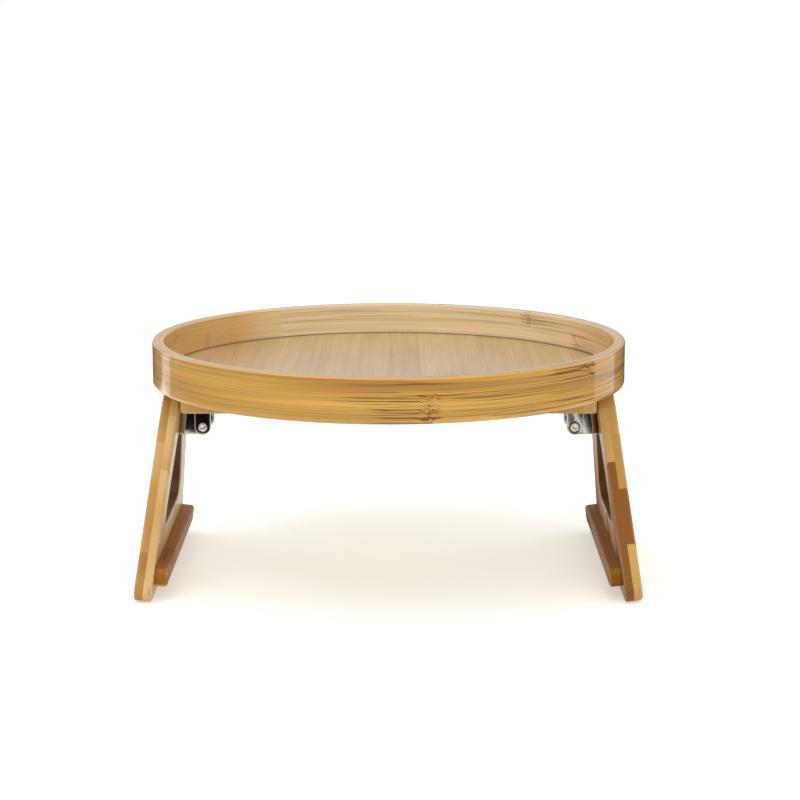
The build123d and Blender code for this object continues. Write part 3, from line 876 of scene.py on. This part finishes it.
# %% Brackets
def eased_copy(node):
    """A merged copy of a CAD node's mesh, with its sheared edges eased."""
    made = bmesh.new()
    made.from_mesh(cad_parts[node].data)
    bmesh.ops.remove_doubles(made, verts=made.verts, dist=2e-6)
    bmesh.ops.dissolve_limit(made, angle_limit=radians(0.6), verts=made.verts, edges=made.edges)
    mesh = mesh_of(made, node + " eased")
    mesh.materials.clear()
    mesh.materials.append(bright_nickel)
    mesh.materials.append(bright_nickel)
    for polygon in mesh.polygons:
        polygon.material_index = 0
    host = put_in_scene(mesh.name, mesh)
    bevel = host.modifiers.new("tumbled edge", "BEVEL")
    bevel.width, bevel.segments, bevel.limit_method = 0.56 * MM, 4, "ANGLE"
    bevel.angle_limit, bevel.material = radians(40), 1
    bevel.use_clamp_overlap = False
    mesh = plain_mesh(host)
    # The bevel's faces are marked for the painted highlight.
    rubbed = mesh.attributes.new("rubbed", "FLOAT", "FACE")
    for polygon in mesh.polygons:
        rubbed.data[polygon.index].value = float(polygon.material_index)
        polygon.material_index = 0
    mesh.materials.pop(index=1)
    edges = sum(p.area for p in mesh.polygons if rubbed.data[p.index].value)
    share = edges / sum(p.area for p in mesh.polygons)
    print(node, "edges are", round(100 * share, 1), "% of its skin")
    return mesh


for side in SIDES:
    for part, body in (("tray_bracket_", "tray"), ("leg_bracket_", "leg_" + side)):
        bracket = eased_copy(part + side)
        finish(bracket, part + "eased_" + side, body, [part + side])

# %% [markdown]
# The rivet is the hinge's axle. A press forms a head on each end and leaves a dimple in its
# middle. It is turned along its own axis and then laid along the hinge.

# %% Rivets
rivet_end = (pin_high[1] - pin_low[1]) / 2 / MM
head, head_high, head_round, shank = 2.9, 1.3, 0.6, 2.0
dimple = [(0, 0.5), (0.75, 0.46), (1.05, 0.28), (1.2, 0.04), (1.36, 0), (head - head_round, 0)]
half_profile = [(r, rivet_end - deep) for r, deep in dimple]
half_profile += [
    (head - head_round * (1 - sin(radians(a))), rivet_end - head_round * (1 - cos(radians(a))))
    for a in (22.5, 45, 67.5, 90)
]
shoulder = rivet_end - head_high
half_profile += [(head, shoulder), (shank, shoulder), (shank, 1.0)]
profile = half_profile + [(r, -z) for r, z in reversed(half_profile)]
for side, turn in SIDES.items():
    rivet = turned(profile, 48)
    rivet.transform(turn @ Matrix.Translation(pin * MM) @ quarter_x)
    finish(rivet, "rivet_" + side, "tray", ["hinge_pin_" + side],
           material=rivet_steel)

# %% [markdown]
# ## Springs
# A torsion spring follows a rule, a helix with an arm at each end, so it is grown by Geometry
# Nodes. A straight curve is cut into many points, and each point's number gives its angle round
# the rivet. The first and last points are moved to the ends of the arms.

# %% A tree for the spring
spring_tree, given, spring_keys = new_tree(
    "spring wound on the rivet",
    {
        "Wire": FLOAT, "Coil radius": FLOAT, "Pitch": FLOAT,
        "First angle": FLOAT, "Last angle": FLOAT, "Middle": VECTOR,
        "Leg arm end": VECTOR, "Tray arm end": VECTOR, "Points": INT, "Finish": MATERIAL,
    },
)
line = add(spring_tree, "GeometryNodeCurvePrimitiveLine")
line = add(spring_tree, "GeometryNodeResampleCurve", {"Curve": line, "Count": given["Points"]})
number = add(spring_tree, "GeometryNodeInputIndex")
final = add(spring_tree, "SUBTRACT", (given["Points"], 1.0))
before_final = add(spring_tree, "SUBTRACT", (final, 1.0))
angle = add(spring_tree, RANGE,
            (number, 1.0, before_final, given["First angle"], given["Last angle"]))
mean = chain(spring_tree, given["First angle"], ("ADD", given["Last angle"]), ("MULTIPLY", 0.5))
climb = chain(spring_tree, angle, ("SUBTRACT", mean), ("MULTIPLY", given["Pitch"]),
              ("MULTIPLY", 1 / tau))
out_x = chain(spring_tree, angle, ("COSINE",), ("MULTIPLY", given["Coil radius"]))
out_z = chain(spring_tree, angle, ("SINE",), ("MULTIPLY", given["Coil radius"]))
on_coil = add(spring_tree, COMBINE, (out_x, climb, out_z))
spot = add(spring_tree, VECTOR_SUM, (on_coil, given["Middle"]), operation="ADD")
for end_number, arm_tip in ((0, given["Leg arm end"]), (final, given["Tray arm end"])):
    is_end = add(spring_tree, "FunctionNodeCompare", {2: number, 3: end_number},
                 data_type="INT", operation="EQUAL")
    spot = add(spring_tree, "GeometryNodeSwitch", (is_end, spot, arm_tip), input_type="VECTOR")
line = add(spring_tree, "GeometryNodeSetPosition", {"Geometry": line, "Position": spot})
wire_radius = add(spring_tree, "MULTIPLY", (given["Wire"], 0.5))
round_wire = add(spring_tree, "GeometryNodeCurvePrimitiveCircle",
                 {"Resolution": 14, "Radius": wire_radius})
wound = add(spring_tree, "GeometryNodeCurveToMesh",
            {"Curve": line, "Profile Curve": round_wire, "Fill Caps": True})
close_tree(spring_tree, wound, given["Finish"])

# %% Wind both springs
sleeve = 5.2
coil_radius = (sleeve + spring_wire) / 2
first, last = radians(100.0), radians(360.0 * spring_turns - 17.0)
arm_gap = 0.3
lean = radians(splay)


def coil_point(angle):
    """Where the wire's middle is, and the way it runs there."""
    rise = spring_pitch / tau
    middle = (first + last) / 2
    point = Vector((coil_radius * cos(angle), rise * (angle - middle), coil_radius * sin(angle)))
    way = Vector((-coil_radius * sin(angle), rise, coil_radius * cos(angle)))
    return point, way.normalized()


def arm_end(point, way, normal, level):
    """Where an arm ends, just short of the face that it presses on."""
    facing = way.dot(normal)
    rise = spring_wire / 2 * sqrt(1 - facing * facing)
    return point + way * ((level - arm_gap - rise - point.dot(normal)) / facing)


start, start_way = coil_point(first)
stop, stop_way = coil_point(last)
leg_arm = arm_end(start, -start_way, Vector((cos(lean), 0, sin(lean))), pin_to_leg - sheet)
tray_arm = arm_end(stop, stop_way, Vector((0, 0, 1)), pin_below_cleat - sheet)
for side, turn in SIDES.items():
    spring = grow("spring " + side, spring_tree, spring_keys, {
        "Wire": spring_wire * MM, "Coil radius": coil_radius * MM, "Pitch": spring_pitch * MM,
        "First angle": first, "Last angle": last, "Middle": pin * MM,
        "Leg arm end": (leg_arm + pin) * MM, "Tray arm end": (tray_arm + pin) * MM,
        "Points": 36 * spring_turns, "Finish": spring_steel,
    })
    finish(spring, "wound_spring_" + side, "tray", ["hinge_spring_" + side], turn)

# %% [markdown]
# ## Screws
# Eight countersunk screws hold the brackets. One is made in full, with a cross recess, and
# Geometry Nodes put a copy on each marked point, turned to the way that it is driven. Each
# body's screws are then baked together, since they move with it.

# %% One screw
def one_screw(length):
    """A countersunk screw that points down, with its head's face at height 0."""
    profile = [(0, 0), (1.9, 0), (2.6, -0.04), (2.8, -0.2), (1.5, -1.5)]
    core, crest, thread_pitch, thread_start = 1.12, 1.5, 1.1, 2.2
    for k in range(int((length * 0.65 - thread_start) / thread_pitch)):
        z = -thread_start - thread_pitch * k
        profile += [(core, z), (core, z - 0.35), (crest, z - 0.6), (core, z - 0.85)]
    profile += [(core, -length * 0.66), (0, -length)]
    screw = put_in_scene("screw", turned(profile, 24))
    cutter = bmesh.new()
    for angle in (0, 90):
        wedge = bmesh.ops.create_cube(cutter, size=1.0)["verts"]
        for corner in wedge:
            deep = corner.co.z < 0
            corner.co.x *= (1.7 if deep else 3.3) * MM
            corner.co.y *= 0.75 * MM
            corner.co.z = (-1.1 if deep else 0.4) * MM
        bmesh.ops.rotate(cutter, verts=wedge, matrix=Matrix.Rotation(radians(angle), 3, "Z"))
    tool = put_in_scene("cross recess", mesh_of(cutter, "cross recess"))
    cut = screw.modifiers.new("cross recess", "BOOLEAN")
    cut.operation, cut.object, cut.use_self = "DIFFERENCE", tool, True
    bake_modifiers(screw)
    bpy.data.objects.remove(tool)
    return screw


# %% A tree that drives screws
screw_tree, given, screw_keys = new_tree(
    "screws driven at marks", {"Marks": GEOMETRY, "Screw": OBJECT, "Finish": MATERIAL})
source = add(screw_tree, "GeometryNodeObjectInfo", {"Object": given["Screw"]}, give="Geometry")
aim = add(screw_tree, "GeometryNodeInputNamedAttribute", {"Name": "aim"}, data_type="FLOAT_VECTOR")
turned_to = add(screw_tree, "FunctionNodeAlignRotationToVector", {"Vector": aim}, axis="Z")
twist = add(screw_tree, "FunctionNodeRandomValue", {2: 0.0, 3: 1.5, "Seed": 4}, give=1,
            data_type="FLOAT")
twist = add(screw_tree, COMBINE, {"Z": twist})
turned_to = add(screw_tree, "FunctionNodeRotateRotation", (turned_to, twist),
                rotation_space="LOCAL")
driven = add(screw_tree, "GeometryNodeInstanceOnPoints",
             {"Points": given["Marks"], "Instance": source, "Rotation": turned_to})
close_tree(screw_tree, driven, given["Finish"])


# %% Drive them
def drive(name, body, nodes, length, marks):
    """marks are pairs of where a head's face is, in metres, and the way it faces."""
    dots = bpy.data.meshes.new(name)
    dots.from_pydata([spot for spot, way in marks], [], [])
    aims = dots.attributes.new("aim", "FLOAT_VECTOR", "POINT")
    for i, (spot, way) in enumerate(marks):
        aims.data[i].vector = way
    screw = one_screw(length)
    mesh = grow(name, screw_tree, screw_keys, {"Screw": screw, "Finish": screw_steel}, dots)
    bpy.data.objects.remove(screw)
    finish(mesh, name, body, nodes)


def screw_marks(face_matrix, spacing):
    """Two marks on the face that the screws enter, some way apart along the hinge."""
    return [
        (face_matrix @ Vector((0, s * spacing / 2 * MM, 0)),
         face_matrix.to_3x3() @ Vector((0, 0, 1)))
        for s in (-1, 1)
    ]


tray_marks = []
pin_to_tray_screws, tray_screw_spacing, leg_screw_spacing = 13.5, 15.0, 10.0
tray_screw_length, leg_screw_length = 14.0, 9.0
cleat_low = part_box("hinge_cleat_right")[0][2] / MM
for side, turn in SIDES.items():
    plate_spot = Vector((pin.x - pin_to_tray_screws, 0, cleat_low - sheet)) * MM
    face = turn @ Matrix.Translation(plate_spot) @ Matrix.Rotation(pi, 4, "Y")
    tray_marks += screw_marks(face, tray_screw_spacing)
    leaf_low = -(ear_radius + pin_to_leg * sin(lean)) / cos(lean)
    leaf_spot = Vector((pin_to_leg - sheet, 0, (leaf_above_pin + leaf_low) / 2)) * MM
    face = leg_frame(side) @ Matrix.Translation(leaf_spot)
    face = face @ Matrix.Rotation(radians(-90), 4, "Y")
    drive("leg_screws_" + side, "leg_" + side, ["leg_bracket_screws_" + side],
          leg_screw_length, screw_marks(face, leg_screw_spacing))
drive("tray_screws", "tray", ["tray_bracket_screws_right", "tray_bracket_screws_left"],
      tray_screw_length, tray_marks)

# %% [markdown]
# ## Setting for the photograph
# The tray stands on a pale floor under soft light. The photograph's camera looked down by under
# eleven degrees from 1.4 m, and its place was worked out from the two ellipses of the rim.

# %% Camera
camera_data = bpy.data.cameras.new("camera")
camera_data.sensor_width, camera_data.lens = 36.0, 98.1
camera_data.clip_start, camera_data.clip_end = 0.05, 50.0
camera = put_in_scene("camera", camera_data)
camera_right, camera_back, camera_over_rim_foot, looking_down = 0.00715, 1.3739, 0.2476, 10.77
camera.location = (camera_right, -camera_back, camera_over_rim_foot + rim_bottom * MM)
camera.rotation_euler = (radians(90 - looking_down), 0, 0)
bpy.context.scene.camera = camera
print("camera at", [round(v, 4) for v in camera.location])

# %% [markdown]
# The floor is one large pale sheet. It adds a little white of its own only to what the camera
# and shiny surfaces see, so that it reads as white and still keeps the tray's soft shadow.

# %% Floor
floor_paper, tree = new_finish("pale floor paper")
rays = tree.nodes.new("ShaderNodeLightPath").outputs
seen = add(tree, "MAXIMUM", (rays["Is Camera Ray"], rays["Is Glossy Ray"]))
glow = add(tree, "MULTIPLY", (seen, 0.45))
here = add(tree, "ShaderNodeTexCoord", give="Object")
grain = add(tree, NOISE, {"Vector": here, "Scale": 900.0})
relief = add(tree, "ShaderNodeBump", {"Height": grain, "Strength": 0.05, "Distance": 0.0001})
paper = add(tree, "ShaderNodeBsdfPrincipled",
            {"Base Color": colour("f2f2ee"), "Roughness": 0.9, "Normal": relief,
             "Emission Color": colour("fdfef9"), "Emission Strength": glow})
add(tree, "ShaderNodeOutputMaterial", {"Surface": paper})
floor_mesh = bpy.data.meshes.new("floor")
floor_mesh.from_pydata([(-6, -6, 0), (6, -6, 0), (6, 6, 0), (-6, 6, 0)], [], [(0, 1, 2, 3)])
floor_mesh.materials.append(floor_paper)
floor = put_in_scene("floor", floor_mesh)

# %% [markdown]
# The world is white, and weaker for the light that it casts than for what the camera and shiny
# surfaces see. One soft lamp hangs overhead, one fills from the front and two light the sides
# from behind. Mirror-like rays don't see the front one, which would lie on the wood as a haze.

# %% World and lamps
world = bpy.data.worlds.new("white studio")
bpy.context.scene.world = world
world.use_nodes = True
tree = world.node_tree
tree.nodes.clear()
rays = tree.nodes.new("ShaderNodeLightPath").outputs
seen = add(tree, "MAXIMUM", (rays["Is Camera Ray"], rays["Is Glossy Ray"]))
seen = add(tree, "MAXIMUM", (seen, rays["Is Transmission Ray"]))
level = add(tree, RANGE, (seen, 0.0, 1.0, 0.6, 1.0))
sky = add(tree, "ShaderNodeBackground", {"Color": colour("ffffff"), "Strength": level})
add(tree, "ShaderNodeOutputWorld", {"Surface": sky})


def soft_box(name, spot, aim, wide, high, power):
    """A soft rectangular lamp that shines from one point towards another."""
    data = bpy.data.lights.new(name, "AREA")
    data.shape, data.size, data.size_y, data.energy = "RECTANGLE", wide, high, power
    lamp = put_in_scene(name, data)
    lamp.location = spot
    lamp.rotation_euler = (Vector(aim) - Vector(spot)).to_track_quat("-Z", "Y").to_euler()
    lamp.visible_camera = False
    return lamp


tray_middle = (0, 0, 0.12)
soft_box("overhead soft box", (-0.3, -0.4, 1.7), tray_middle, 1.4, 1.4, 8.5)
fill = soft_box("front fill", (0.1, -2.0, 0.9), tray_middle, 1.6, 1.0, 9.0)
fill.visible_glossy = False
soft_box("left back soft box", (-0.4845, 0.2955, 0.25), (-0.136, -0.063, 0.25), 0.10, 0.5, 0.2)
soft_box("right back soft box", (0.523, 0.2396, 0.25), (0.132, -0.072, 0.25), 0.22, 0.5, 0.3)

# %% [markdown]
# Bright metal looks like what stands round it, and in a room that is white all over it would
# look like chalk, and lacquer would look like mist. A photographer lays and stands cards just
# outside the picture for them to mirror: black ones on the floor and behind, a pale one above
# those, and two narrow grey strips for the ears of the right hinge. Only mirror-like rays see
# these cards, so they cast nothing on the wood or on the floor.

# %% Cards for the metal to mirror
def card_paper(name, low, high):
    """Matt card, whose grey wavers a little between two levels."""
    paper, tree = new_finish(name)
    here = add(tree, "ShaderNodeTexCoord", give="Object")
    grain = add(tree, NOISE, {"Vector": here, "Scale": 30.0})
    tone = add(tree, RANGE, (grain, 0.0, 1.0, low, high))
    shader = add(tree, "ShaderNodeBsdfDiffuse", {"Color": tone})
    add(tree, "ShaderNodeOutputMaterial", {"Surface": shader})
    return paper


black_card = card_paper("black card", 0.004, 0.012)
grey_card = card_paper("grey card", 0.12, 0.18)
mid_card = card_paper("mid grey card", 0.3, 0.36)
pale_card = card_paper("pale card", 0.78, 0.86)


def card(name, paper, x_low, x_high, y_low, y_high, top=None):
    """A card that lies on the floor, or stands up from it to some height."""
    y_far, low, high = (y_high, 0.003, 0.003) if top is None else (y_low, 0.004, top)
    mesh = bpy.data.meshes.new(name)
    mesh.from_pydata([(x_low, y_low, low), (x_high, y_low, low), (x_high, y_far, high),
                      (x_low, y_far, high)], [], [(0, 1, 2, 3)])
    mesh.materials.append(paper)
    sheet_of_card = put_in_scene(name, mesh)
    sheet_of_card.visible_camera = False
    sheet_of_card.visible_diffuse = False
    sheet_of_card.visible_shadow = False


card("card_front_left", black_card, -0.60, 0.10, -1.40, -0.43)
card("card_front_right", black_card, 0.28, 0.60, -1.40, -0.43)
card("card_front_middle", black_card, 0.10, 0.28, -1.40, -0.62)
card("card_ear_inboard", grey_card, 0.148, 0.1585, -0.62, -0.40)
card("card_ear_middle", mid_card, 0.1635, 0.1665, -0.62, -0.40)
card("card_ear_outboard", black_card, 0.1665, 0.20, -0.62, -0.40)
card("card_side_left", black_card, -1.60, -0.60, -1.40, 1.40)
card("card_side_right", black_card, 0.60, 1.60, -1.40, 1.40)
card("card_back_left", black_card, -0.60, -0.22, 0.50, 1.40)
card("card_back_right", black_card, 0.12, 0.60, 0.08, 1.40)
card("card_behind_low", black_card, -0.13, 1.60, 1.40, 1.40, 0.26)
card("card_behind", pale_card, -1.60, 1.60, 1.45, 1.45, 1.0)

# %% Colour management
scene = bpy.context.scene
scene.view_settings.view_transform = "Standard"
